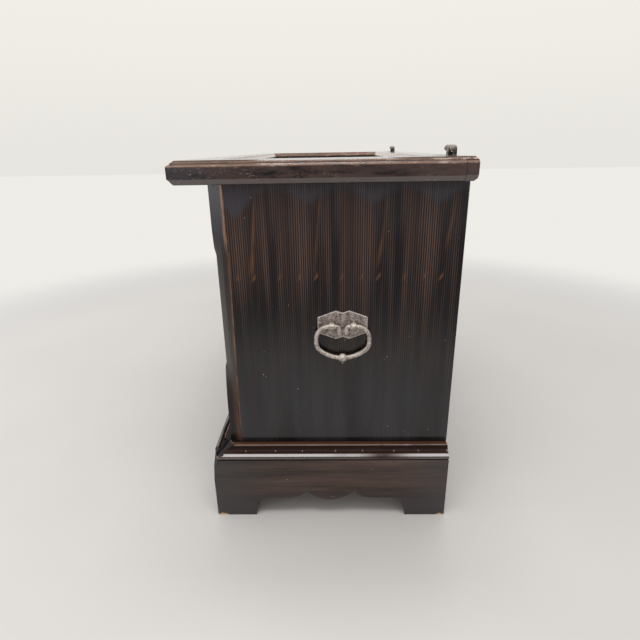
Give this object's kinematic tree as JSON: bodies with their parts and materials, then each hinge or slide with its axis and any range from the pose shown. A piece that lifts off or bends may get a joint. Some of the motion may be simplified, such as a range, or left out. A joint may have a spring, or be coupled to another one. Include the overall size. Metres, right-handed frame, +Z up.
{
  "type": "storage chest",
  "caption": "Dark lacquered wooden ship chest with a framed hinged lid, bead hinges on top, a moulded base on scalloped bracket feet and a swinging bail handle on each end.",
  "frame": {"origin": "centre of the whole chest's footprint, on the floor under the feet", "axes": "+X along the length to the right-hand end, +Y from the front to the back, +Z up"},
  "size_m": [0.84, 0.406, 0.5995],
  "materials": {
    "dark_wood": "gloss",
    "plain_wood": "matte",
    "aged_iron": "satin"
  },
  "bodies": {
    "case": {"end_panel_right": "dark_wood", "end_panel_left": "dark_wood", "front_panel": "dark_wood", "back_panel": "dark_wood", "bottom_board": "plain_wood", "base_moulding_front": "dark_wood", "base_moulding_right": "dark_wood", "base_moulding_left": "dark_wood", "base_back_rail": "plain_wood", "plinth_front": "dark_wood", "plinth_right": "dark_wood", "plinth_left": "dark_wood", "plinth_back": "dark_wood", "foot_block_front_right": "plain_wood", "foot_block_front_left": "plain_wood", "foot_block_back_right": "plain_wood", "foot_block_back_left": "plain_wood", "rear_hinge_rail": "dark_wood", "hinge_fixed_leaf_right": "aged_iron", "hinge_fixed_leaf_left": "aged_iron", "hinge_pin_right": "aged_iron", "hinge_pin_left": "aged_iron", "hinge_rail_screws": "aged_iron", "handle_plate_right": "aged_iron", "handle_plate_left": "aged_iron", "handle_eyes_right": "aged_iron", "handle_eyes_left": "aged_iron", "handle_nuts_right": "aged_iron", "handle_nuts_left": "aged_iron"},
    "lid": {"lid_front_rail": "dark_wood", "lid_right_rail": "dark_wood", "lid_left_rail": "dark_wood", "lid_back_rail": "dark_wood", "lid_panel": "dark_wood", "lid_batten_right": "plain_wood", "lid_batten_left": "plain_wood", "hinge_lid_leaf_right": "aged_iron", "hinge_lid_leaf_left": "aged_iron", "hinge_lid_screws": "aged_iron"},
    "right_bail": {"bail_right": "aged_iron"},
    "left_bail": {"bail_left": "aged_iron"}
  },
  "joints": [
    {"name": "lid_hinge", "type": "hinge", "parent": "case", "child": "lid", "pos_m": [0, 0.18675, 0.595], "axis": [-1, 0, 0], "range_deg": [0, 100]},
    {"name": "right_bail_swing", "type": "hinge", "parent": "case", "child": "right_bail", "pos_m": [0.3945, 0.0285, 0.3435], "axis": [0, -1, 0], "range_deg": [0, 170]},
    {"name": "left_bail_swing", "type": "hinge", "parent": "case", "child": "left_bail", "pos_m": [-0.3945, 0.0285, 0.3435], "axis": [0, 1, 0], "range_deg": [0, 170]}
  ]
}
